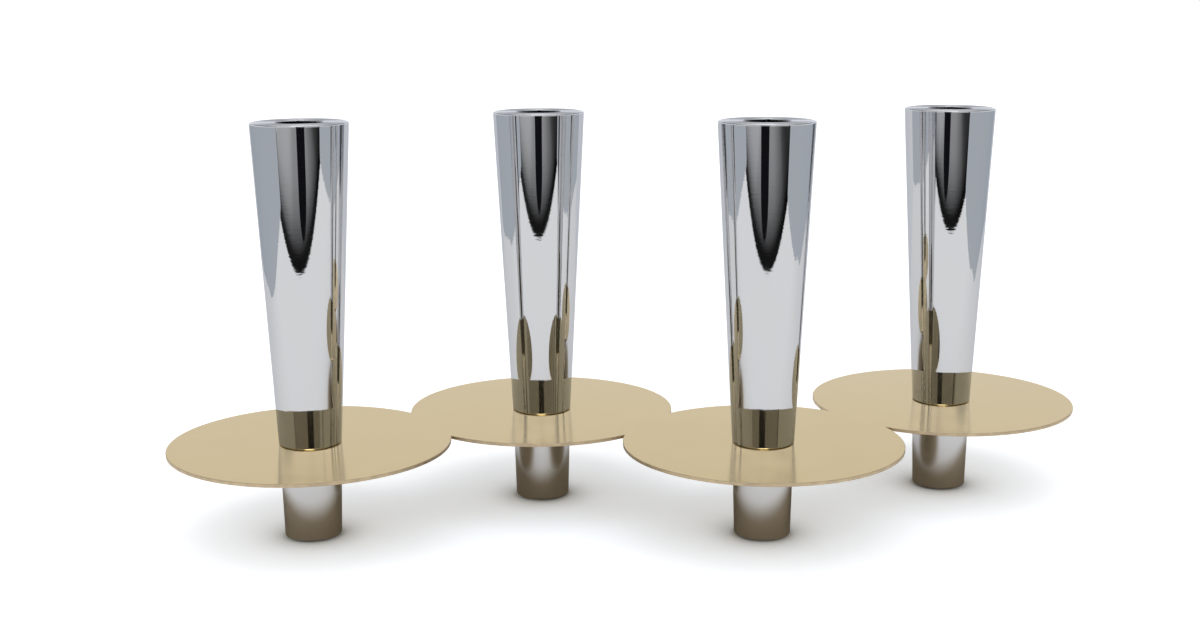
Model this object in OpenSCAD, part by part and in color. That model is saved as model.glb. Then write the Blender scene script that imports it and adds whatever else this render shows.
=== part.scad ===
// Holder for four taper candles, standing on a table.
// Four chromed tapered holders stand on one flat brass plate, each above a foot of its own.
// Inside every holder a threaded stud draws the foot up and the holder down, so they clamp the plate.
// Millimetres, +Z up. The origin is on the table, under the middle of the plate's outline,
// and the long way of the plate runs along X.

/* [Plate] */
// Diameter of each of the four round lobes
lobe_d = 131.5; // [128:0.5:150]
// Thickness of the brass sheet
sheet_t = 1.6; // [1:0.1:4]
// Chamfer that takes the burr off the plate's edges
deburr = 0.2; // [0.05:0.05:0.4]
// Width of the plate from notch to notch, where the first two lobes merge
waist_12 = 49; // [20:0.5:80]
// Width from notch to notch between the second lobe and the third
waist_23 = 46.5; // [20:0.5:80]
// Width from notch to notch between the third lobe and the fourth
waist_34 = 39.3; // [20:0.1:80]
// Angle from X of the line from the first holder to the second
angle_12 = 30; // [20:1:45]
// Angle from X of the line from the second holder to the third
angle_23 = -30; // [-45:1:-20]
// Angle from X of the line from the third holder to the fourth
angle_34 = 38; // [20:1:45]

/* [Tapered tubes] */
// Outside diameter at the rim
rim_d = 45; // [38:0.5:60]
// Outside diameter at the narrow end, which stands on the plate
neck_d = 29.2; // [24:0.2:36]
// Height of a tube
tube_h = 150; // [100:1:220]
// Wall of a tube
tube_wall = 1.5; // [1:0.1:3]
// Radius of the rim's outer edge
rim_edge_r = 0.8; // [0.3:0.1:1]
// Radius of the narrow end's outer edge
neck_edge_r = 0.7; // [0.2:0.1:0.8]

/* [Candle sockets] */
// Diameter of the bore that a candle stands in
candle_bore_d = 22; // [18:0.1:26]
// Depth of the bore
candle_bore_depth = 25; // [12:0.5:40]
// Radius around the mouth of the bore
mouth_edge_r = 0.5; // [0.2:0.1:1.5]
// Wall of the cup around the bore
cup_wall = 1.8; // [1:0.1:3]
// Thickness of the cup's floor
cup_floor = 2.5; // [1:0.1:5]
// Thickness of the flange that closes the rim
flange_t = 5; // [2:0.5:10]
// Radius under the flange, where the cup's wall begins
flange_root_r = 1.5; // [0.5:0.1:3]
// Gap between a wedge-fitted piece and the inside of its tube
wedge_gap = 0.05; // [0.02:0.01:0.1]

/* [Plugs and studs] */
// Height of the plug in a tube's narrow end
plug_h = 14; // [8:0.5:25]
// Height that the plug stays clear of the plate, so that only the tube's end bears on it
plug_lift = 0.5; // [0.2:0.1:1]
// Diameter of the threaded stud
stud_d = 8; // [5:0.5:12]
// Length of the stud inside the plug
stud_in_plug = 12; // [6:0.5:25]
// Length of the stud inside the foot
stud_in_foot = 16; // [8:0.5:30]
// Chamfer on the ends of the stud
stud_chamfer = 0.8; // [0.3:0.1:1.5]
// Gap between the stud and its threaded holes
thread_gap = 0.05; // [0.02:0.01:0.1]
// Gap between the stud and its hole in the plate
stud_play = 0.3; // [0.1:0.05:1]

/* [Feet] */
// Height of a foot
foot_h = 43; // [32:0.5:80]
// Diameter of a foot under the plate
foot_top_d = 28.7; // [24:0.1:36]
// Diameter of a foot at the table
foot_end_d = 26.4; // [23:0.1:36]
// Radius of the foot's lower edge
foot_edge_r = 1; // [0.3:0.1:1.5]
// Chamfer of the foot's upper edge
foot_top_chamfer = 0.3; // [0.1:0.1:1]
// Diameter of the felt pad
pad_d = 20; // [12:0.5:21]
// Thickness of the felt pad
pad_t = 2; // [1:0.1:4]
// Height that the pad stands proud of the foot
pad_proud = 0.5; // [0.2:0.1:0.8]
// Gap around the pad in its recess
pad_gap = 0.1; // [0.05:0.05:0.5]

/* [Hidden] */
$fn = 96;
EDGE_STEPS = 6;
HOLDERS = [1 : 4];
HOLDER_PIECES = ["tube", "candle_socket", "end_plug", "stud", "foot", "foot_pad"];

STEEL = [0.62, 0.63, 0.65];
CHROME = [0.8, 0.81, 0.85];
BRASS = [0.84, 0.76, 0.59];
FELT = [0.16, 0.15, 0.15];

// Heights of the plate's two faces above the table
deck_z = pad_proud + foot_h;
plate_top = deck_z + sheet_t;

// Distance between the centres of two lobes that merge in a waist of this width
function step(waist) = sqrt(lobe_d * lobe_d - waist * waist);

// Centres of the lobes, walked from the first holder to the fourth
function ahead(start, waist, angle) = start + step(waist) * [cos(angle), sin(angle)];
walk_1 = [0, 0];
walk_2 = ahead(walk_1, waist_12, angle_12);
walk_3 = ahead(walk_2, waist_23, angle_23);
walk_4 = ahead(walk_3, waist_34, angle_34);
walk = [walk_1, walk_2, walk_3, walk_4];
xs = [for (p = walk) p.x];
ys = [for (p = walk) p.y];
middle = [(min(xs) + max(xs)) / 2, (min(ys) + max(ys)) / 2];
centres = [for (p = walk) p - middle];

// Radius of a taper that runs from one radius to another over a height
function taper(low_r, high_r, height, z) = low_r + (high_r - low_r) * z / height;
function lean(low_r, high_r, height) = atan((high_r - low_r) / height);

// Outer and inner radius of a tube at a height above the plate
function tube_r(z) = taper(neck_d / 2, rim_d / 2, tube_h, z);
function tube_bore_r(z) = tube_r(z) - tube_wall;

// Points of a rounded edge of radius r about a centre
function edge(centre, r, from, to) =
    [for (k = [0 : EDGE_STEPS]) let (a = from + (to - from) * k / EDGE_STEPS)
        centre + r * [cos(a), sin(a)]];

// Centre of an edge radius that touches a leaning wall, whose radius at that height is given
function edge_centre(wall_r, leaning, r, z) = [wall_r - r / cos(leaning), z];

module at_holder(i, z) {
    translate([centres[i - 1].x, centres[i - 1].y, z]) children();
}

// A round lobe with its burr taken off both edges. Two lobes meet in a sharp notch.
module lobe() {
    r = lobe_d / 2;
    rotate_extrude()
        polygon([[0, 0], [r - deburr, 0], [r, deburr],
                 [r, sheet_t - deburr], [r - deburr, sheet_t], [0, sheet_t]]);
}

module plate() {
    color(BRASS)
        translate([0, 0, deck_z])
            difference() {
                for (c = centres) translate([c.x, c.y, 0]) lobe();
                for (c = centres)
                    translate([c.x, c.y, -deburr])
                        cylinder(r = stud_d / 2 + stud_play, h = sheet_t + 2 * deburr);
            }
}

// A tapered tube of even wall, wide at the rim
module tube() {
    leaning = lean(neck_d / 2, rim_d / 2, tube_h);
    rim = edge_centre(tube_r(tube_h - rim_edge_r), leaning, rim_edge_r, tube_h - rim_edge_r);
    neck = edge_centre(tube_r(neck_edge_r), leaning, neck_edge_r, neck_edge_r);
    color(CHROME)
        rotate_extrude()
            polygon(concat([[tube_bore_r(0), 0]],
                           edge(neck, neck_edge_r, -90, -leaning),
                           edge(rim, rim_edge_r, -leaning, 90),
                           [[tube_bore_r(tube_h), tube_h]]));
}

// The turned socket: a flange that wedges into the rim, with a cup for the candle's end below it
module candle_socket() {
    bore_r = candle_bore_d / 2;
    cup_r = bore_r + cup_wall;
    flange_z = tube_h - flange_t;
    floor_z = tube_h - candle_bore_depth;
    mouth = [bore_r + mouth_edge_r, tube_h - mouth_edge_r];
    root = [cup_r + flange_root_r, flange_z - flange_root_r];
    color(CHROME)
        rotate_extrude()
            polygon(concat([[0, floor_z], [bore_r, floor_z]],
                           edge(mouth, mouth_edge_r, 180, 90),
                           [[tube_bore_r(tube_h) - wedge_gap, tube_h],
                            [tube_bore_r(flange_z) - wedge_gap, flange_z]],
                           edge(root, flange_root_r, 90, 180),
                           [[cup_r, floor_z - cup_floor], [0, floor_z - cup_floor]]));
}

// The plug that the stud pulls down into the tube's narrowing end
module end_plug() {
    top_z = plug_lift + plug_h;
    hole_r = stud_d / 2 + thread_gap;
    color(STEEL)
        rotate_extrude()
            polygon([[hole_r, plug_lift], [tube_bore_r(plug_lift) - wedge_gap, plug_lift],
                     [tube_bore_r(top_z) - wedge_gap, top_z], [hole_r, top_z]]);
}

// The threaded stud, from the bottom of the hole in the foot up into the plug
module stud() {
    r = stud_d / 2;
    length = stud_in_foot + sheet_t + plug_lift + stud_in_plug;
    color(STEEL)
        rotate_extrude()
            polygon([[0, 0], [r - stud_chamfer, 0], [r, stud_chamfer],
                     [r, length - stud_chamfer], [r - stud_chamfer, length], [0, length]]);
}

// The foot, a solid turned taper with a threaded hole on top and a recess for the pad below
module foot() {
    low_r = foot_end_d / 2;
    high_r = foot_top_d / 2;
    leaning = lean(low_r, high_r, foot_h);
    low = edge_centre(taper(low_r, high_r, foot_h, foot_edge_r), leaning, foot_edge_r, foot_edge_r);
    recess_r = pad_d / 2 + pad_gap;
    recess_h = pad_t - pad_proud;
    hole_r = stud_d / 2 + thread_gap;
    color(CHROME)
        rotate_extrude()
            polygon(concat([[0, recess_h], [recess_r, recess_h], [recess_r, 0]],
                           edge(low, foot_edge_r, -90, -leaning),
                           [[high_r, foot_h - foot_top_chamfer], [high_r - foot_top_chamfer, foot_h],
                            [hole_r, foot_h], [hole_r, foot_h - stud_in_foot],
                            [0, foot_h - stud_in_foot]]));
}

module foot_pad() {
    color(FELT) cylinder(d = pad_d, h = pad_t);
}

plate();
for (i = HOLDERS) {
    at_holder(i, plate_top) tube();
    at_holder(i, plate_top) candle_socket();
    at_holder(i, plate_top) end_plug();
    at_holder(i, deck_z - stud_in_foot) stud();
    at_holder(i, pad_proud) foot();
    at_holder(i, 0) foot_pad();
}
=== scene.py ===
import math

import bpy
from mathutils import Matrix, Vector, noise
from mathutils.geometry import tessellate_polygon


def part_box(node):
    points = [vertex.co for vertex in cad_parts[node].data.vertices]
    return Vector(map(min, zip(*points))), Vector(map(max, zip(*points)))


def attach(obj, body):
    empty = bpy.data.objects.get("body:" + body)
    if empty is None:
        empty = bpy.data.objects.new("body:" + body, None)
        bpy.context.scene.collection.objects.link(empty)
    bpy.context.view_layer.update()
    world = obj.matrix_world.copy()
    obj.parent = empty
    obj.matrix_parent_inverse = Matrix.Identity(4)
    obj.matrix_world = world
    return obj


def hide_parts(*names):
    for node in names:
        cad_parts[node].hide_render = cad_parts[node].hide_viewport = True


# Finish, studio and camera for the holder of four taper candles.
# Names that are sizes or places are in millimetres, and MM turns them into metres.

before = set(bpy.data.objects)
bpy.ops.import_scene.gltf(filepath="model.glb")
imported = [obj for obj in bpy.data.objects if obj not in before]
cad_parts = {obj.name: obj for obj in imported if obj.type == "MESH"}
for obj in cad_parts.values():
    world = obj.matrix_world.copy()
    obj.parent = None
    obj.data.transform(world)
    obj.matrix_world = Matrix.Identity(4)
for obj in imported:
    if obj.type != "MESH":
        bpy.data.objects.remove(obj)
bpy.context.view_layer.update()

MM = 0.001
HOLDERS = (1, 2, 3, 4)
SIDES = 256

# Sizes of the turned pieces that their boxes in the frame don't give
NECK_R = 14.6
TUBE_WALL = 1.5
RIM_EDGE_R = 0.8
NECK_EDGE_R = 0.7
BORE_R = 11.0
BORE_DEPTH = 25.0
MOUTH_R = 0.5
CUP_WALL = 1.8
FLANGE_T = 5.0
FLANGE_ROOT_R = 1.5
SEAM_R = 0.12
FOOT_END_R = 13.2
FOOT_EDGE_R = 1.0
FOOT_TOP_EDGE_R = 0.3
RECESS_R = 10.1
STUD_HOLE_R = 4.05
STUD_HOLE_DEPTH = 16.0

# How many steps draw the radius of an edge. The foot's lower edge has as many as the rim, the felt as a seam.
RIM_STEPS = 14
NECK_STEPS = 8
SOCKET_STEPS = 10
FOOT_TOP_STEPS = 6
SEAM_STEPS = 5

# Digits of a millimetre to which points of a turned piece have to agree to be the same ring
RING_DIGITS = 5

# Sizes of the plate, with the turns that draw its softened edge and the step of its outline, in degrees
LOBE_R = 65.7
SHEET_EDGE_R = 0.25
SHEET_EDGE_TURNS = (-90, -60, -30, 0)
PLATE_HOLE_R = 4.3
OUTLINE_STEP = 1.0

# Thread of the studs. The flanks start below the root and are cut off at the crest, which leaves both flat.
THREAD_PITCH = 1.25
THREAD_DEPTH = 0.68
THREAD_CLEARANCE = 0.02
THREAD_SIDES = 48
THREAD_STEPS = 8
FLANK_RISE = 1.4
FLANK_START = -0.2
STUD_CHAMFER = 0.8

# Felt discs: the size of their unevenness, its lumps to the millimetre, and how far apart the discs lie in it
FELT_SIDES = 144
FELT_RINGS = 12
FELT_EDGE_R = 0.35
FELT_FUZZ = 0.12
FELT_LUMPS = 1.9
FELT_APART = 7

# Colours, as linear light
CHROME = (0.615, 0.622, 0.648, 1)
CHROME_GRAZING = (0.76, 0.78, 0.82, 1)
BRASS = (0.706, 0.538, 0.251, 1)
CUT_BRASS = (0.50, 0.40, 0.27, 1)
STEEL = (0.42, 0.43, 0.45, 1)
FELT = (0.022, 0.021, 0.020, 1)
WHITE = (1, 1, 1, 1)
BLACK = (0.008, 0.008, 0.010, 1)

# What the red, green and blue of a finish are multiplied by where it differs most from its colour
CHROME_WARM = (1, 1, 0.97)
BRASS_DARK = (0.98, 0.975, 0.96)
CUT_PALE = (1.25, 1.25, 1.2)
STEEL_YELLOW = (1.08, 1.04, 0.92)
FELT_PALE = (2.2, 2.2, 2.2)

# Roughness of the finishes, from the smoothest place to the roughest
CHROME_ROUGH = (0.015, 0.035)
BRASS_ROUGH = (0.13, 0.16)
CUT_ROUGH = (0.32, 0.5)
STEEL_ROUGH = (0.25, 0.42)
FELT_ROUGH = 0.95

# Depth of their relief, and the strength of the felt's
LATHE_RELIEF = 0.004
BRASS_RELIEF = 0.003
CUT_RELIEF = 0.01
FELT_RELIEF = 0.2
FELT_RELIEF_STRENGTH = 0.8

# Lumps to the metre of the noise in their colour, their roughness and their relief
BRASS_LUMPS = (14, 60, 2600)
CUT_LUMPS = (220, 500, 1500)
STEEL_LUMPS = (160, 320)
FIBRE_LUMPS = 1400
FIBRE_DETAIL = 6

# The noise of turned pieces: how wide it runs round the axis, and its lumps to the metre along it
POLISH_RINGS = (3, 900)
POLISH_DETAIL = 3
POLISH_CLOUDS = (1.5, 30)
LATHE_RINGS = (2, 1400)

# How much finer the chrome's roughness varies than its colour
CHROME_ROUGH_FINER = 2

# The turned flange's shine is spread across its rings, which is a quarter turn from their direction
FLANGE_SPREAD = 1.0
FLANGE_SPREAD_TURN = 0.25

# The pale bloom that felt has at a grazing look
FELT_SHEEN = 0.35
FELT_SHEEN_ROUGH = 0.5

# The socket is smooth in the bore and rougher on the flange's face, and changes between these heights
SOCKET_ROUGH = (0.05, 0.3)
SOCKET_FACE_Z = (-0.5, -0.05)

# The middle range of a noise, where nearly all of it lies
NOISE_MIDDLE = (0.3, 0.7)

# The floor as the mirrors see it: pale, paler in front, and dark and brown in a painted shadow of the plate,
# as with light off the brass. SHADOW_FROM is the point in plan below an imagined lamp that the painted shadow
# grows away from, SHADOW_SPREAD how much it outgrows the plate, and SHADOW_BLUR half the width of its soft
# edge.
FLOOR_FRONT = (0.97, 0.97, 0.97, 1)
FLOOR_BACK = (0.87, 0.87, 0.87, 1)
FLOOR_PAINTED_SHADOW = (0.44, 0.38, 0.29, 1)
FLOOR_FADE_Y = (-200, 60)
SHADOW_FROM = (-74, -410)
SHADOW_SPREAD = 0.048
SHADOW_BLUR = 17

# The floor as the camera sees it: lifted to white, with shade under the plate and darker shade at the feet.
# The shade is partly real, from the lamp and sky on the matt floor, and partly painted: its colour changes
# with ambient occlusion, and near the feet the lift to white is taken away. A reach is how far off things
# still shade it. The shares are how open a place is where the shade is full and where it ends.
FLOOR_OPEN = (0.85, 0.855, 0.86, 1)
FLOOR_SHADE = (0.775, 0.86, 0.98, 1)
FLOOR_CONTACT_SHADE = (0.82, 0.868, 0.91, 1)
FLOOR_LIFT = 0.40
SHELTER_REACH = 120
SHELTER_SHARES = (0.35, 0.95)
CONTACT_REACH = 40
CONTACT_SHARES = (0.57, 0.89)
FLOOR_HALF = 6000

# The open-fronted light tent round the table, as the chrome mirrors it. A hem is the lower edge of a side, by
# Y and height.
LEFT_WALL_X = -603
RIGHT_WALL_X = 612
WALL_FRONT_Y = -516
TENT_BACK_Y = 520
WALL_H = 140
WALL_GREY = (0.545, 0.58, 0.622, 1)
LOW_BACK_GREY = (0.84, 0.85, 0.88, 1)
LEFT_HEM = ((-516, 16), (-310, 18), (-215, 14), (-130, 9), (25, 6),
            (65, 8), (110, 13), (260, 12), (390, 5), (520, 5))
RIGHT_HEM = ((-516, 7), (-440, 1), (-100, 0), (-35, 6), (25, 5),
             (100, 0), (165, 11), (250, 21), (350, 29), (520, 30))

# The tent's front posts, each with its span in X at the bottom and at the top
POST_W = 14
POST_HIGH_W = 60
LEFT_POST_X = (LEFT_WALL_X, LEFT_WALL_X + POST_W)
RIGHT_POST_X = (RIGHT_WALL_X - 2 * POST_W, RIGHT_WALL_X)
RIGHT_POST_HIGH_X = (RIGHT_WALL_X - POST_HIGH_W, RIGHT_WALL_X)
POSTS = (("post_left", LEFT_POST_X, LEFT_POST_X), ("post_right", RIGHT_POST_X, RIGHT_POST_HIGH_X))
POST_HIGH_Z = (225, 600)

# The camera's stand in front of the table: a low part with a rounded lower end, and a high part
STAND_Y = -560
STAND_X = (-118, 60)
STAND_LOW_Z = (8, 105)
STAND_TIP = 40
STAND_TIP_STEPS = 24
STAND_HIGH_X = (-132, 74)
STAND_HIGH_Z = (190, 600)

# The room's floor in front of the table: its light at distances from the table's edge, and along X
TABLE_FRONT_Y = -507
ROOM_GREY = (0.56, 0.56, 0.567, 1)
ROOM_HALF_W = 900
ROOM_DEPTH = 900
CARD_LIFT = 0.3
ROOM_AWAY = ((0, 0.03), (45, 0.035), (65, 0.1), (100, 0.28), (140, 0.43),
             (180, 0.6), (260, 0.78), (340, 0.9), (900, 1.0))
ROOM_ACROSS = ((-700, 1.0), (-400, 0.97), (-250, 0.72), (-150, 0.67), (200, 0.66),
               (350, 0.5), (480, 0.33), (560, 0.17), (700, 0.08))

# What the mirrors see higher up: a pale ring of the tent's walls, greys above it, and a white ceiling.
# The first mirror shows RIM_RING, TOP_GREY and CEILING. The second in a row shows LOW_RING, ROOM_TOP_GREY,
# WALL_TOP_GREY and TWICE_CEILING, and the third shows the names with DEEP.
BACK_GREY = (0.82, 0.83, 0.85, 1)
ROOM_TOP_GREY = (0.22, 0.226, 0.237, 1)
WALL_TOP_GREY = (0.39, 0.417, 0.455, 1)
TOP_GREY = (0.40, 0.408, 0.42, 1)
LOW_RING = (1.42, 1.40, 1.35, 1)
RIM_RING = (1.08, 1.09, 1.11, 1)
DEEP_RING = (2.1, 2.07, 2.0, 1)
DEEP_GREY = (0.13, 0.13, 0.13, 1)
CEILING = (1.6, 1.6, 1.6, 1)
TWICE_CEILING = (9, 9, 9, 1)

# Elevations, in degrees, between which these change, and how much the ring's top rises beside and behind
RIM_RING_TOP = (9, 11)
RING_FOOT = (7, 9)
RING_TOP = (13.2, 14.2)
RING_RISE = 1.15
DEEP_RING_TOP = (12, 13)
TOP_GREY_FROM = (21, 25)
WHITE_FROM = (50, 60)
CEILING_FROM = (55, 58)

# Where they change round the horizon, by the Y of a level direction of length 1, and the ceiling's edge in X
ROOM_EDGE = (-0.67, -0.72)
BACK_EDGE = (0.91, 0.95)
RING_RISE_BETWEEN = (-0.45, 0.25)
CEILING_EDGE = (0.20, 0.16)

# Light on matt surfaces: most from the sky all round, and the rest from a wide lamp that leans to the front.
# Its width and lean are in degrees.
SKY_LEVEL = 0.775
LAMP_LEVEL = 0.336
LAMP_ANGLE = 70
LAMP_TILT = 35

# The camera, with its turns in radians
CAMERA_AT = (-11.57, -753.2, 251.41)
CAMERA_PITCH = 0.1677
CAMERA_YAW = 0.0035
CAMERA_ROLL = -0.0035
SENSOR_W = 36
LENS = 47.29
SHIFT = (-0.0095, -0.0474)
CLIP_START = 10


def middle_of(node):
    """Where a piece's axis stands."""
    low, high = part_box(node)
    return (low.x + high.x) / 2 / MM, (low.y + high.y) / 2 / MM


def heights_of(node):
    """Lowest and highest height of a piece."""
    low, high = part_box(node)
    return low.z / MM, high.z / MM


def radius_of(node):
    """Largest radius of a turned piece."""
    low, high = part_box(node)
    return (high.x - low.x) / 2 / MM


CENTRES = [middle_of(f"tube_{i}") for i in HOLDERS]


def new_piece(name, verts, faces, at=(0, 0, 0)):
    """An object with this mesh, its points and place given in millimetres."""
    mesh = bpy.data.meshes.new(name)
    mesh.from_pydata([[c * MM for c in v] for v in verts], [], faces)
    mesh.shade_smooth()
    piece = bpy.data.objects.new(name, mesh)
    piece.location = [c * MM for c in at]
    bpy.context.scene.collection.objects.link(piece)
    return piece


# Turned pieces

def arc(centre, r, start, end, steps):
    """Points of an arc in the plane of radius and height, with its angles in degrees."""
    turns = [math.radians(start + (end - start) * k / steps) for k in range(steps + 1)]
    return [(centre[0] + r * math.cos(a), centre[1] + r * math.sin(a)) for a in turns]


def run_normals(run):
    """Outward normal at each point of a run, leaning to the longer stretch beside it."""
    stretches = [Vector((z1 - z0, r0 - r1)) for (r0, z0), (r1, z1) in zip(run, run[1:])]
    beside = [stretches[max(k - 1, 0):k + 1] for k in range(len(run))]
    return [sum(pair, Vector((0, 0))).normalized() for pair in beside]


def turned(name, at, runs):
    """A turned solid. A run is points of radius and height that shade smoothly, crisp against the next."""
    verts, faces, normals, rings = [], [], [], {}

    def ring(point):
        key = (round(point[0], RING_DIGITS), round(point[1], RING_DIGITS))
        if key not in rings:
            first = len(verts)
            count = 1 if key[0] == 0 else SIDES
            for j in range(count):
                a = 2 * math.pi * j / SIDES
                verts.append((key[0] * math.cos(a), key[0] * math.sin(a), key[1]))
            rings[key] = [first + j % count for j in range(SIDES)]
        return rings[key]

    for run in runs:
        leans = run_normals(run)
        for k in range(len(run) - 1):
            low, high = ring(run[k]), ring(run[k + 1])
            for j in range(SIDES):
                n = (j + 1) % SIDES
                corners = [(low[j], k, j), (low[n], k, n), (high[n], k + 1, n), (high[j], k + 1, j)]
                corners = [c for m, c in enumerate(corners) if c[0] != corners[m - 1][0]]
                faces.append([c[0] for c in corners])
                for _, point, side in corners:
                    a = 2 * math.pi * side / SIDES
                    lean = leans[point]
                    normals.append((lean.x * math.cos(a), lean.x * math.sin(a), lean.y))
    piece = new_piece(name, verts, faces, at)
    piece.data.normals_split_custom_set(normals)
    return piece


def edge_centre(wall_r, lean, r, z):
    """Centre of an edge radius that touches a leaning wall."""
    return (wall_r - r / math.cos(math.radians(lean)), z)


def tube(i):
    """A tapered tube with a rounded rim and neck."""
    low_z, high_z = heights_of(f"tube_{i}")
    height = high_z - low_z
    rim_r = radius_of(f"tube_{i}")
    lean = math.degrees(math.atan((rim_r - NECK_R) / height))

    def wall_r(z):
        return NECK_R + (rim_r - NECK_R) * z / height

    neck = edge_centre(wall_r(NECK_EDGE_R), lean, NECK_EDGE_R, NECK_EDGE_R)
    rim_z = height - RIM_EDGE_R
    rim = edge_centre(wall_r(rim_z), lean, RIM_EDGE_R, rim_z)
    seam = (rim_r - TUBE_WALL + SEAM_R, height - SEAM_R)
    neck_inside = (NECK_R - TUBE_WALL, 0)
    run = [neck_inside] + arc(neck, NECK_EDGE_R, -90, -lean, NECK_STEPS)
    run += arc(rim, RIM_EDGE_R, -lean, 90, RIM_STEPS) + arc(seam, SEAM_R, 90, 180, SEAM_STEPS)
    return turned(f"tube_{i}_polished", (*CENTRES[i - 1], low_z), [run, [run[-1], neck_inside]])


def socket(i):
    """The flange that closes a rim, with the candle's cup hanging from it."""
    low_z, high_z = heights_of(f"candle_socket_{i}")
    flange_r = radius_of(f"candle_socket_{i}")
    tube_low, tube_high = heights_of(f"tube_{i}")
    slope = (radius_of(f"tube_{i}") - NECK_R) / (tube_high - tube_low)
    cup_r = BORE_R + CUP_WALL
    cup_z = low_z - high_z
    root = (cup_r + FLANGE_ROOT_R, -FLANGE_T - FLANGE_ROOT_R)
    under = [(cup_r, cup_z)] + arc(root, FLANGE_ROOT_R, 180, 90, SOCKET_STEPS)
    under += [(flange_r - slope * FLANGE_T, -FLANGE_T)]
    over = [under[-1]] + arc((flange_r - SEAM_R, -SEAM_R), SEAM_R, 0, 90, SEAM_STEPS)
    over += arc((BORE_R + MOUTH_R, -MOUTH_R), MOUTH_R, 90, 180, SOCKET_STEPS) + [(BORE_R, -BORE_DEPTH)]
    runs = [[(0, cup_z), under[0]], under, over, [over[-1], (0, -BORE_DEPTH)]]
    return turned(f"candle_socket_{i}_turned", (*CENTRES[i - 1], high_z), runs)


def foot(i):
    """A foot: a short taper with a rounded lower edge, a recess below and a hole on top."""
    low_z, high_z = heights_of(f"foot_{i}")
    height = high_z - low_z
    top_r = radius_of(f"foot_{i}")
    lean = math.degrees(math.atan((top_r - FOOT_END_R) / height))
    low_r = FOOT_END_R + (top_r - FOOT_END_R) * FOOT_EDGE_R / height
    low = edge_centre(low_r, lean, FOOT_EDGE_R, FOOT_EDGE_R)
    high = (top_r - FOOT_TOP_EDGE_R, height - FOOT_TOP_EDGE_R)
    recess_z = heights_of(f"foot_pad_{i}")[1] - low_z
    recess = [(0, recess_z), (RECESS_R, recess_z)]
    outside = [(RECESS_R, 0)] + arc(low, FOOT_EDGE_R, -90, -lean, RIM_STEPS)
    outside += arc(high, FOOT_TOP_EDGE_R, -lean, 90, FOOT_TOP_STEPS) + [(STUD_HOLE_R, height)]
    hole = [outside[-1], (STUD_HOLE_R, height - STUD_HOLE_DEPTH)]
    runs = [recess, [recess[-1], outside[0]], outside, hole, [hole[-1], (0, hole[-1][1])]]
    return turned(f"foot_{i}_polished", (*CENTRES[i - 1], low_z), runs)


def stud(i):
    """A stud with its thread, cut off square and chamfered at both ends."""
    low_z, high_z = heights_of(f"stud_{i}")
    length = high_z - low_z
    crest_r = radius_of(f"stud_{i}") - THREAD_CLEARANCE
    rows = round(length / THREAD_PITCH * THREAD_STEPS)
    verts = []
    for k in range(rows + 1):
        z = length * k / rows
        end_r = crest_r - STUD_CHAMFER + min(z, length - z)
        for j in range(THREAD_SIDES):
            phase = (z / THREAD_PITCH - j / THREAD_SIDES) % 1
            height = min(max(FLANK_RISE * (1 - abs(2 * phase - 1)) + FLANK_START, 0), 1)
            r = min(crest_r - THREAD_DEPTH * (1 - height), end_r)
            a = 2 * math.pi * j / THREAD_SIDES
            verts.append((r * math.cos(a), r * math.sin(a), z))
    faces = []
    for k in range(rows):
        for j in range(THREAD_SIDES):
            n = (j + 1) % THREAD_SIDES
            low, high = k * THREAD_SIDES, (k + 1) * THREAD_SIDES
            faces.append((low + j, low + n, high + n, high + j))
    top = rows * THREAD_SIDES
    faces.append(range(THREAD_SIDES - 1, -1, -1))
    faces.append(range(top, top + THREAD_SIDES))
    piece = new_piece(f"stud_{i}_threaded", verts, faces, (*CENTRES[i - 1], low_z))
    for face in piece.data.polygons[-2:]:
        face.use_smooth = False
    return piece


def felt_disc(i):
    """A pressed felt disc whose cut edge and faces are slightly uneven."""
    low_z, high_z = heights_of(f"foot_pad_{i}")
    height = high_z - low_z
    r = radius_of(f"foot_pad_{i}") - FELT_FUZZ
    inner = [r * k / FELT_RINGS for k in range(1, FELT_RINGS)]
    profile = [(p, 0) for p in inner] + arc((r - FELT_EDGE_R, FELT_EDGE_R), FELT_EDGE_R, -90, 0, SEAM_STEPS)
    profile += arc((r - FELT_EDGE_R, height - FELT_EDGE_R), FELT_EDGE_R, 0, 90, SEAM_STEPS)
    profile += [(p, height) for p in reversed(inner)]
    verts = [(0, 0, 0)]
    for k, (ring_r, z) in enumerate(profile):
        for j in range(FELT_SIDES):
            a = 2 * math.pi * j / FELT_SIDES
            at = Vector((ring_r * math.cos(a), ring_r * math.sin(a), z))
            fuzz = noise.noise(at * FELT_LUMPS + Vector((FELT_APART * i, 0, 0))) * FELT_FUZZ
            out = 1 + fuzz / r
            verts.append((at.x * out, at.y * out, min(max(z + abs(fuzz) * (1 - 2 * z / height), 0), height)))
    verts.append((0, 0, height))
    faces = []
    for j in range(FELT_SIDES):
        n = (j + 1) % FELT_SIDES
        faces.append((0, 1 + n, 1 + j))
        for k in range(len(profile) - 1):
            low, high = 1 + k * FELT_SIDES, 1 + (k + 1) * FELT_SIDES
            faces.append((low + j, low + n, high + n, high + j))
        last = 1 + (len(profile) - 1) * FELT_SIDES
        faces.append((last + j, last + n, len(verts) - 1))
    return new_piece(f"foot_pad_{i}_felt", verts, faces, (*CENTRES[i - 1], low_z))


# The plate

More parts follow.
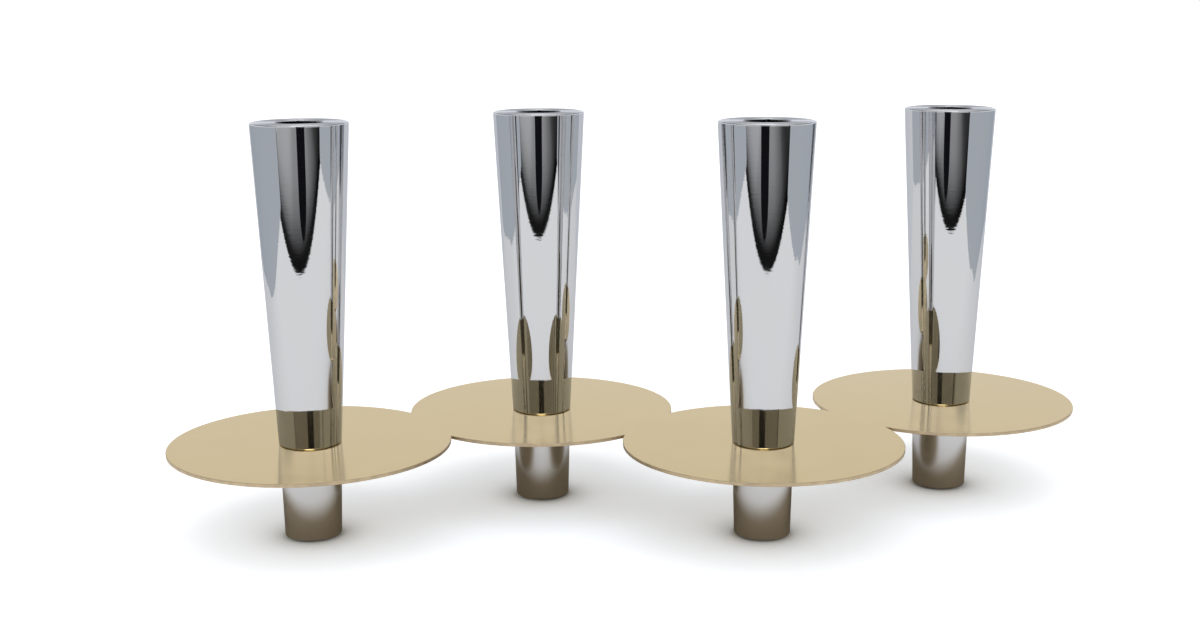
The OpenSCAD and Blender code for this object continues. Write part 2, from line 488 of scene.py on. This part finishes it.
def lobe_arcs(inset):
    """The outline drawn in by inset, anticlockwise: the lobe, first angle and sweep of each arc."""
    r = LOBE_R - inset
    joins = []
    for (x0, y0), (x1, y1) in zip(CENTRES, CENTRES[1:]):
        along = math.atan2(y1 - y0, x1 - x0)
        joins.append((along, math.acos(math.hypot(x1 - x0, y1 - y0) / 2 / r)))
    (way_1, gap_1), (way_2, gap_2), (way_3, gap_3) = joins
    half_turn = math.pi
    spans = [(0, way_1 + gap_1, way_1 - gap_1),
             (1, way_1 + half_turn + gap_1, way_2 - gap_2),
             (2, way_2 + half_turn + gap_2, way_3 - gap_3),
             (3, way_3 + half_turn + gap_3, way_3 + half_turn - gap_3),
             (2, way_3 + gap_3, way_2 + half_turn - gap_2),
             (1, way_2 + gap_2, way_1 + half_turn - gap_1)]
    return [(lobe, first, (last - first) % (2 * half_turn)) for lobe, first, last in spans]


def outline(inset):
    """Points of the outline drawn in by inset, and the lobe that each stretch between two belongs to."""
    points, lobes = [], []
    for (lobe, first, sweep), (_, _, full) in zip(lobe_arcs(inset), lobe_arcs(0)):
        steps = math.ceil(math.degrees(full) / OUTLINE_STEP)
        x, y = CENTRES[lobe]
        for k in range(steps):
            a = first + sweep * k / steps
            points.append((x + (LOBE_R - inset) * math.cos(a), y + (LOBE_R - inset) * math.sin(a)))
            lobes.append(lobe)
    return points, lobes


def away_from(centre, point, lift):
    """A normal that points away from a centre in plan and is lifted by an angle in degrees."""
    out = Vector((point[0] - centre[0], point[1] - centre[1])).normalized()
    level = math.cos(math.radians(lift))
    return (out.x * level, out.y * level, math.sin(math.radians(lift)))


def plate_edge(thick, verts, faces, normals):
    """Adds the outline's softened edge, and returns its lowest and highest loop of points."""
    edge = [(lift, SHEET_EDGE_R) for lift in SHEET_EDGE_TURNS]
    edge += [(-lift, thick - SHEET_EDGE_R) for lift in reversed(SHEET_EDGE_TURNS)]
    loops = []
    for lift, middle in edge:
        inset = SHEET_EDGE_R * (1 - math.cos(math.radians(lift)))
        z = middle + SHEET_EDGE_R * math.sin(math.radians(lift))
        points, lobes = outline(inset)
        loops.append(range(len(verts), len(verts) + len(points)))
        verts += [(x, y, z) for x, y in points]
    for (low_lift, _), (high_lift, _), low, high in zip(edge, edge[1:], loops, loops[1:]):
        lifts = (low_lift, low_lift, high_lift, high_lift)
        for k, lobe in enumerate(lobes):
            n = (k + 1) % len(lobes)
            faces.append((low[k], low[n], high[n], high[k]))
            normals += [away_from(CENTRES[lobe], verts[v], lift) for v, lift in zip(faces[-1], lifts)]
    return loops[0], loops[-1]


def plate_holes(thick, verts, faces, normals):
    """Adds the wall of each stud's hole, and returns the lower and upper loop of points of each."""
    turns = [2 * math.pi * k / SIDES for k in range(SIDES)]
    holes = []
    for x, y in CENTRES:
        first = len(verts)
        low, high = range(first, first + SIDES), range(first + SIDES, first + 2 * SIDES)
        for z in (0, thick):
            verts += [(x + PLATE_HOLE_R * math.cos(a), y + PLATE_HOLE_R * math.sin(a), z) for a in turns]
        for k in range(SIDES):
            n = (k + 1) % SIDES
            faces.append((low[n], low[k], high[k], high[n]))
            normals += [[-c for c in away_from((x, y), verts[v], 0)] for v in faces[-1]]
        holes.append((low, high))
    return holes


def plate_face(loops, up, verts, faces, normals):
    """Adds the flat face inside the first loop and outside the others. Up is 1 for a top and -1 below."""
    order = [v for loop in loops for v in loop]
    for face in tessellate_polygon([[Vector((*verts[v][:2], 0)) for v in loop] for loop in loops]):
        a, b, c = [Vector(verts[order[v]]) for v in face]
        if (b - a).cross(c - a).z * up < 0:
            face = face[::-1]
        faces.append([order[v] for v in face])
        normals += [(0, 0, up)] * 3


def plate():
    """The flat sheet: merged round lobes with sharp notches, softened edges and a hole for each stud."""
    low_z, high_z = heights_of("plate")
    verts, faces, normals = [], [], []
    rims = plate_edge(high_z - low_z, verts, faces, normals)
    edge_faces = len(faces)
    holes = plate_holes(high_z - low_z, verts, faces, normals)
    for side, up in ((0, -1), (1, 1)):
        plate_face([rims[side]] + [hole[side] for hole in holes], up, verts, faces, normals)
    piece = new_piece("plate_sheet", verts, faces, (0, 0, low_z))
    piece.data.normals_split_custom_set(normals)
    for face in piece.data.polygons[:edge_faces]:
        face.material_index = 1
    return piece


# Nodes

def add(tree, kind, links=None, **settings):
    """A node with its settings, and its sockets linked or set to constants."""
    node = tree.nodes.new(kind)
    for name, value in settings.items():
        setattr(node, name, value)
    for socket, source in (links or {}).items():
        if isinstance(source, bpy.types.NodeSocket):
            tree.links.new(source, node.inputs[socket])
        else:
            node.inputs[socket].default_value = source
    return node


def maths(tree, operation, *values):
    """The result of an operation on one or two values."""
    return add(tree, "ShaderNodeMath", dict(enumerate(values)), operation=operation).outputs[0]


def parts(tree, vector):
    """The X, Y and Z of a vector."""
    return add(tree, "ShaderNodeSeparateXYZ", {0: vector}).outputs


def joined(tree, *values):
    """A vector of an X, a Y and, where there is one, a Z."""
    return add(tree, "ShaderNodeCombineXYZ", dict(enumerate(values))).outputs[0]


def normalized(tree, vector):
    """The same direction at length 1."""
    return add(tree, "ShaderNodeVectorMath", {0: vector}, operation="NORMALIZE").outputs[0]


def mapped(tree, value, first, last, low=0.0, high=1.0, **settings):
    """A value taken from one range to another, and held at the ends."""
    ranges = {"Value": value, "From Min": first, "From Max": last, "To Min": low, "To Max": high}
    return add(tree, "ShaderNodeMapRange", ranges, **settings).outputs[0]


def blend(tree, share, start, end):
    """A mix of two colours, each a socket or a constant, by a share that varies."""
    mix = add(tree, "ShaderNodeMix", {"Factor": share, "A": start, "B": end}, data_type="RGBA")
    return mix.outputs["Result"]


def object_place(tree):
    """Coordinates in the piece's own frame, in metres."""
    return add(tree, "ShaderNodeTexCoord").outputs["Object"]


def turned_place(tree, around, along):
    """Coordinates that follow the turning of a piece whose axis is its own Z axis, with no seam."""
    x, y, z = parts(tree, object_place(tree))
    out = normalized(tree, joined(tree, x, y))
    wide = add(tree, "ShaderNodeVectorMath", {0: out, "Scale": around}, operation="SCALE")
    wide_x, wide_y, _ = parts(tree, wide.outputs[0])
    return joined(tree, wide_x, wide_y, maths(tree, "MULTIPLY", z, along))


def clouds(tree, place, scale=1.0, detail=2.0):
    """A noise with this many lumps to one unit of its coordinates."""
    return add(tree, "ShaderNodeTexNoise", {"Vector": place, "Scale": scale, "Detail": detail}).outputs[0]


def varied(tree, place, low=0.0, high=1.0, scale=1.0, detail=2.0):
    """A noise whose middle range is spread from low to high."""
    return mapped(tree, clouds(tree, place, scale, detail), *NOISE_MIDDLE, low, high)


# Materials

def new_material(name, metallic=1.0):
    """A material with its Principled shader, and the tree that holds it."""
    material = bpy.data.materials.new(name)
    material.use_nodes = True
    shader = material.node_tree.nodes["Principled BSDF"]
    shader.inputs["Metallic"].default_value = metallic
    return material, material.node_tree, shader


def mottle(tree, shader, colour, factors, share):
    """Varies a shader's colour between a colour and the same multiplied part by part."""
    other = (*[part * factor for part, factor in zip(colour, factors)], 1)
    tree.links.new(blend(tree, share, colour, other), shader.inputs["Base Color"])


def relief(tree, shader, height, depth, strength=1.0):
    """Gives a shader's surface a fine relief."""
    bump = add(tree, "ShaderNodeBump", {"Height": height, "Strength": strength, "Distance": depth * MM})
    tree.links.new(bump.outputs[0], shader.inputs["Normal"])


def chrome():
    """Mirror chrome with the faint rings that polishing on a lathe leaves."""
    material, tree, shader = new_material("mirror_chrome")
    rings = turned_place(tree, *POLISH_RINGS)
    relief(tree, shader, clouds(tree, rings, detail=POLISH_DETAIL), LATHE_RELIEF)
    broad = turned_place(tree, *POLISH_CLOUDS)
    mottle(tree, shader, CHROME, CHROME_WARM, varied(tree, broad))
    rough = varied(tree, broad, *CHROME_ROUGH, scale=CHROME_ROUGH_FINER)
    tree.links.new(rough, shader.inputs["Roughness"])
    shader.inputs["Specular Tint"].default_value = CHROME_GRAZING
    return material


def socket_chrome():
    """Turned and plated: fine rings cut by the lathe spread the shine across them."""
    material, tree, shader = new_material("turned_chrome")
    height = parts(tree, object_place(tree))[2]
    low, high = [z * MM for z in SOCKET_FACE_Z]
    tree.links.new(mapped(tree, height, low, high, *SOCKET_ROUGH), shader.inputs["Roughness"])
    rings = turned_place(tree, *LATHE_RINGS)
    relief(tree, shader, clouds(tree, rings), LATHE_RELIEF)
    around = add(tree, "ShaderNodeTangent", direction_type="RADIAL", axis="Z")
    tree.links.new(around.outputs[0], shader.inputs["Tangent"])
    shader.inputs["Anisotropic"].default_value = FLANGE_SPREAD
    shader.inputs["Anisotropic Rotation"].default_value = FLANGE_SPREAD_TURN
    shader.inputs["Base Color"].default_value = CHROME
    shader.inputs["Specular Tint"].default_value = CHROME_GRAZING
    return material


def satin_brass():
    """Fine satin brass under clear lacquer, with the slight unevenness of a rolled sheet."""
    material, tree, shader = new_material("satin_brass")
    place = object_place(tree)
    tint_lumps, rough_lumps, relief_lumps = BRASS_LUMPS
    mottle(tree, shader, BRASS, BRASS_DARK, varied(tree, place, scale=tint_lumps))
    tree.links.new(varied(tree, place, *BRASS_ROUGH, scale=rough_lumps), shader.inputs["Roughness"])
    relief(tree, shader, clouds(tree, place, scale=relief_lumps), BRASS_RELIEF)
    return material


def cut_brass():
    """The sheet's edge as it was cut: duller, with fine marks."""
    material, tree, shader = new_material("cut_brass")
    place = object_place(tree)
    tint_lumps, rough_lumps, relief_lumps = CUT_LUMPS
    mottle(tree, shader, CUT_BRASS, CUT_PALE, varied(tree, place, scale=tint_lumps))
    tree.links.new(varied(tree, place, *CUT_ROUGH, scale=rough_lumps), shader.inputs["Roughness"])
    relief(tree, shader, clouds(tree, place, scale=relief_lumps), CUT_RELIEF)
    return material


def plated_steel():
    """Zinc-plated steel, slightly clouded."""
    material, tree, shader = new_material("plated_steel")
    place = object_place(tree)
    tint_lumps, rough_lumps = STEEL_LUMPS
    mottle(tree, shader, STEEL, STEEL_YELLOW, varied(tree, place, scale=tint_lumps))
    tree.links.new(varied(tree, place, *STEEL_ROUGH, scale=rough_lumps), shader.inputs["Roughness"])
    return material


def felt():
    """Dark pressed felt."""
    material, tree, shader = new_material("pressed_felt", metallic=0.0)
    fibres = varied(tree, object_place(tree), scale=FIBRE_LUMPS, detail=FIBRE_DETAIL)
    mottle(tree, shader, FELT, FELT_PALE, fibres)
    relief(tree, shader, fibres, FELT_RELIEF, FELT_RELIEF_STRENGTH)
    shader.inputs["Roughness"].default_value = FELT_ROUGH
    shader.inputs["Sheen Weight"].default_value = FELT_SHEEN
    shader.inputs["Sheen Roughness"].default_value = FELT_SHEEN_ROUGH
    return material


# Studio

def empty_tree(holder):
    """The node tree of a material or world, with nothing in it."""
    holder.use_nodes = True
    holder.node_tree.nodes.clear()
    return holder.node_tree


def mixed_light(tree, share, one, other):
    """One shader, or another by a share."""
    return add(tree, "ShaderNodeMixShader", {0: share, 1: one, 2: other}).outputs[0]


def passed(tree, depth):
    """1 where the Ray Depth is at least this, and 0 where it is less."""
    path = add(tree, "ShaderNodeLightPath")
    return maths(tree, "GREATER_THAN", path.outputs["Ray Depth"], depth - 0.5)


def dimmed(tree, axis, stops):
    """A share that follows places along X, which is axis 0, or along Y, which is axis 1."""
    first, last = stops[0][0], stops[-1][0]
    place = parts(tree, add(tree, "ShaderNodeNewGeometry").outputs["Position"])[axis]
    curve = add(tree, "ShaderNodeFloatCurve", {"Value": mapped(tree, place, first * MM, last * MM)})
    points = curve.mapping.curves[0].points
    points[0].location = (0, stops[0][1])
    points[-1].location = (1, stops[-1][1])
    for at, share in stops[1:-1]:
        points.new((at - first) / (last - first), share)
    curve.mapping.update()
    return curve.outputs[0]


def glow(name, colour, ramps=(), deep=None):
    """A card's own light. Each ramp dims it along an axis. A third mirror in a row shows its deep colour."""
    material = bpy.data.materials.new(name)
    tree = empty_tree(material)
    light = add(tree, "ShaderNodeEmission", {"Color": colour})
    if ramps:
        strength, *others = [dimmed(tree, axis, stops) for axis, stops in ramps]
        for share in others:
            strength = maths(tree, "MULTIPLY", strength, share)
        tree.links.new(strength, light.inputs["Strength"])
    if deep:
        tree.links.new(blend(tree, passed(tree, 3), colour, deep), light.inputs["Color"])
    add(tree, "ShaderNodeOutputMaterial", {0: light.outputs[0]})
    return material


def card(name, corners, material):
    """A card that only mirrors see."""
    piece = new_piece(name, corners, [range(len(corners))])
    piece.data.materials.append(material)
    for ray in ("camera", "diffuse", "transmission", "volume_scatter", "shadow"):
        setattr(piece, f"visible_{ray}", False)


def upright(across, y, heights):
    """Corners of an upright card that faces the front."""
    (x0, x1), (z0, z1) = across, heights
    return [(x0, y, z0), (x1, y, z0), (x1, y, z1), (x0, y, z1)]


def low_stand():
    """Corners of the stand's low part, from the half ellipse at its lower end to its square top."""
    (x0, x1), (low, high) = STAND_X, STAND_LOW_Z
    half = (x1 - x0) / 2
    tip = arc(((x0 + x1) / 2, 0), half, 180, 360, STAND_TIP_STEPS)
    rounded = [(x, STAND_Y, low + STAND_TIP + z * STAND_TIP / half) for x, z in tip]
    return rounded + [(x1, STAND_Y, high), (x0, STAND_Y, high)]


def tent():
    """What the mirrors see low round the table: a pale back, grey sides and a dark open front."""
    grey = glow("tent_side", WALL_GREY, deep=DEEP_RING)
    black = glow("tent_frame", BLACK, deep=DEEP_RING)
    high_black = glow("tent_frame_high", BLACK)
    pale = glow("tent_back", LOW_BACK_GREY)
    card("tent_back", upright((LEFT_WALL_X, RIGHT_WALL_X), TENT_BACK_Y, (0, WALL_H)), pale)
    for name, x, hem in (("tent_left", LEFT_WALL_X, LEFT_HEM), ("tent_right", RIGHT_WALL_X, RIGHT_HEM)):
        top = [(x, hem[-1][0], WALL_H), (x, hem[0][0], WALL_H)]
        card(name, [(x, y, z) for y, z in hem] + top, grey)
    for name, low_x, high_x in POSTS:
        card(name, upright(low_x, WALL_FRONT_Y, (0, WALL_H)), black)
        card(f"{name}_high", upright(high_x, WALL_FRONT_Y, POST_HIGH_Z), high_black)
    card("camera_stand_low", low_stand(), black)
    card("camera_stand_high", upright(STAND_HIGH_X, STAND_Y, STAND_HIGH_Z), high_black)


def room_floor():
    """The dark floor of the room in front of the table."""
    y0, y1 = TABLE_FRONT_Y, TABLE_FRONT_Y - ROOM_DEPTH
    in_y = (1, [(y0 - distance, share) for distance, share in ROOM_AWAY])
    in_x = (0, ROOM_ACROSS)
    ground = glow("room_floor", ROOM_GREY, ramps=(in_y, in_x))
    w, z = ROOM_HALF_W, CARD_LIFT
    card("room_floor", [(-w, y1, z), (w, y1, z), (w, y0, z), (-w, y0, z)], ground)


def mirrored_floor(tree):
    """The floor as the mirrors see it, with a painted shadow of the plate: its lobes, enlarged as from below
    a lamp.
    """
    x, y, _ = parts(tree, object_place(tree))
    front_y, back_y = FLOOR_FADE_Y
    pale = blend(tree, mapped(tree, y, front_y * MM, back_y * MM), FLOOR_FRONT, FLOOR_BACK)
    flat = joined(tree, x, y)
    gaps = []
    for centre in CENTRES:
        at = [(c + SHADOW_SPREAD * (c - lamp_c)) * MM for c, lamp_c in zip(centre, SHADOW_FROM)]
        gap = add(tree, "ShaderNodeVectorMath", {0: flat, 1: (*at, 0)}, operation="DISTANCE")
        gaps.append(gap.outputs["Value"])
    nearest, *others = gaps
    for gap in others:
        nearest = maths(tree, "MINIMUM", nearest, gap)
    shadow_r = LOBE_R * (1 + SHADOW_SPREAD)
    clear = mapped(tree, nearest, (shadow_r - SHADOW_BLUR) * MM, (shadow_r + SHADOW_BLUR) * MM,
                   interpolation_type="SMOOTHSTEP")
    # Painted shadow of the plate: the dark brown colour inside its enlarged lobes, the pale floor outside.
    return add(tree, "ShaderNodeBsdfDiffuse", {"Color": blend(tree, clear, FLOOR_PAINTED_SHADOW, pale)}).outputs[0]


def open_air(tree, reach, shares):
    """How far a place is clear of what shades it from nearby: 0 where the shade is full, 1 where it ends."""
    near = add(tree, "ShaderNodeAmbientOcclusion", {"Distance": reach * MM})
    return mapped(tree, near.outputs["AO"], *shares)


def seen_floor(tree):
    """The floor as the camera sees it, lifted towards white with the shadows kept and painted shade at the
    feet.
    """
    # Painted shade: a bluer colour where ambient occlusion finds the plate near, and near a foot its own
    # colour with the white lift taken away.
    sheltered = blend(tree, open_air(tree, SHELTER_REACH, SHELTER_SHARES), FLOOR_SHADE, FLOOR_OPEN)
    free = open_air(tree, CONTACT_REACH, CONTACT_SHARES)
    shade = add(tree, "ShaderNodeBsdfDiffuse", {"Color": blend(tree, free, FLOOR_CONTACT_SHADE, sheltered)})
    lift = maths(tree, "MULTIPLY", free, FLOOR_LIFT)
    white = add(tree, "ShaderNodeEmission", {"Color": WHITE, "Strength": lift})
    return add(tree, "ShaderNodeAddShader", {0: shade.outputs[0], 1: white.outputs[0]}).outputs[0]


def floor():
    """The pale floor."""
    material = bpy.data.materials.new("pale_floor")
    tree = empty_tree(material)
    path = add(tree, "ShaderNodeLightPath")
    choice = mixed_light(tree, path.outputs["Is Camera Ray"], mirrored_floor(tree), seen_floor(tree))
    add(tree, "ShaderNodeOutputMaterial", {0: choice})
    h = FLOOR_HALF
    piece = new_piece("floor", [(-h, -h, 0), (h, -h, 0), (h, h, 0), (-h, h, 0)], [(0, 1, 2, 3)])
    piece.data.materials.append(material)


def high_light(tree):
    """What the mirrors see higher up, by the direction they look in."""
    x, y, height = parts(tree, add(tree, "ShaderNodeTexCoord").outputs["Generated"])
    rearward = parts(tree, normalized(tree, joined(tree, x, y)))[1]
    # The background counts one more than the mirrors that the light has passed
    twice, deep = passed(tree, 3), passed(tree, 4)

    def rise(degrees):
        return math.sin(math.radians(degrees))

    def above(elevations, level=height):
        return mapped(tree, level, rise(elevations[0]), rise(elevations[1]))

    rims = blend(tree, above(RIM_RING_TOP), RIM_RING, BACK_GREY)
    ring = blend(tree, deep, LOW_RING, DEEP_RING)
    in_ring = maths(tree, "MULTIPLY", twice, above(RING_FOOT))
    lower = blend(tree, in_ring, blend(tree, twice, rims, BACK_GREY), ring)
    front = blend(tree, mapped(tree, rearward, *ROOM_EDGE), WALL_TOP_GREY, ROOM_TOP_GREY)
    walls = blend(tree, mapped(tree, rearward, *BACK_EDGE), front, BACK_GREY)
    upper = blend(tree, twice, blend(tree, above(TOP_GREY_FROM), BACK_GREY, TOP_GREY), walls)
    lean = mapped(tree, rearward, *RING_RISE_BETWEEN, 0, rise(RING_RISE))
    light = blend(tree, above(RING_TOP, maths(tree, "SUBTRACT", height, lean)), lower, upper)
    light = blend(tree, maths(tree, "MULTIPLY", deep, above(DEEP_RING_TOP)), light, DEEP_GREY)
    light = blend(tree, above(WHITE_FROM), light, WHITE)
    narrow = mapped(tree, maths(tree, "ABSOLUTE", x), *CEILING_EDGE)
    overhead = maths(tree, "MULTIPLY", narrow, above(CEILING_FROM))
    return blend(tree, overhead, light, blend(tree, twice, CEILING, TWICE_CEILING))


def sky():
    """White for the camera, a plain soft level for matt surfaces, and the tent's upper parts for mirrors."""
    world = bpy.data.worlds.new("studio")
    bpy.context.scene.world = world
    world.cycles.sampling_method = "NONE"
    tree = empty_tree(world)
    white = add(tree, "ShaderNodeBackground", {"Color": WHITE, "Strength": 1.0})
    plain = add(tree, "ShaderNodeBackground", {"Color": WHITE, "Strength": SKY_LEVEL})
    high = add(tree, "ShaderNodeBackground", {"Color": high_light(tree), "Strength": 1.0})
    path = add(tree, "ShaderNodeLightPath")
    choice = mixed_light(tree, path.outputs["Is Diffuse Ray"], white.outputs[0], plain.outputs[0])
    choice = mixed_light(tree, path.outputs["Is Glossy Ray"], choice, high.outputs[0])
    add(tree, "ShaderNodeOutputWorld", {0: choice})


def lamp():
    """One wide soft lamp, as even over the table as a bright ceiling."""
    data = bpy.data.lights.new("soft_lamp", "SUN")
    data.angle = math.radians(LAMP_ANGLE)
    data.energy = math.pi * LAMP_LEVEL
    light = bpy.data.objects.new("soft_lamp", data)
    light.rotation_euler = (math.radians(LAMP_TILT), 0, 0)
    light.visible_glossy = False
    bpy.context.scene.collection.objects.link(light)


def camera():
    """The photograph's viewpoint."""
    data = bpy.data.cameras.new("camera")
    data.sensor_width = SENSOR_W
    data.lens = LENS
    data.shift_x, data.shift_y = SHIFT
    data.clip_start = CLIP_START * MM
    turn = Matrix.Rotation(CAMERA_YAW, 4, "Z")
    tilt = Matrix.Rotation(math.pi / 2 - CAMERA_PITCH, 4, "X")
    roll = Matrix.Rotation(CAMERA_ROLL, 4, "Z")
    view = bpy.data.objects.new("camera", data)
    view.matrix_world = Matrix.Translation([c * MM for c in CAMERA_AT]) @ turn @ tilt @ roll
    bpy.context.scene.collection.objects.link(view)
    bpy.context.scene.camera = view


# The object

def dress(piece, slot, node, *materials):
    """Gives a piece its materials and its body, and hides the node that it stands for. Its slot is not used.
    """
    for material in materials:
        piece.data.materials.append(material)
    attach(piece, "root")
    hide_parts(node)


def assemble():
    """Makes every piece of the object in its finish. The end plugs stay as the frame gives them."""
    mirror, flange, sheet = chrome(), socket_chrome(), satin_brass()
    steel, wool = plated_steel(), felt()
    dress(plate(), "brass", "plate", sheet, cut_brass())
    for i in HOLDERS:
        dress(tube(i), "chrome", f"tube_{i}", mirror)
        dress(socket(i), "chrome", f"candle_socket_{i}", flange)
        dress(foot(i), "chrome", f"foot_{i}", mirror)
        dress(stud(i), "steel", f"stud_{i}", steel)
        dress(felt_disc(i), "felt", f"foot_pad_{i}", wool)
        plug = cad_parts[f"end_plug_{i}"]
        plug.data.materials.clear()
        plug.data.materials.append(steel)


camera()
assemble()
floor()
tent()
room_floor()
sky()
lamp()
bpy.context.scene.view_settings.view_transform = "Standard"
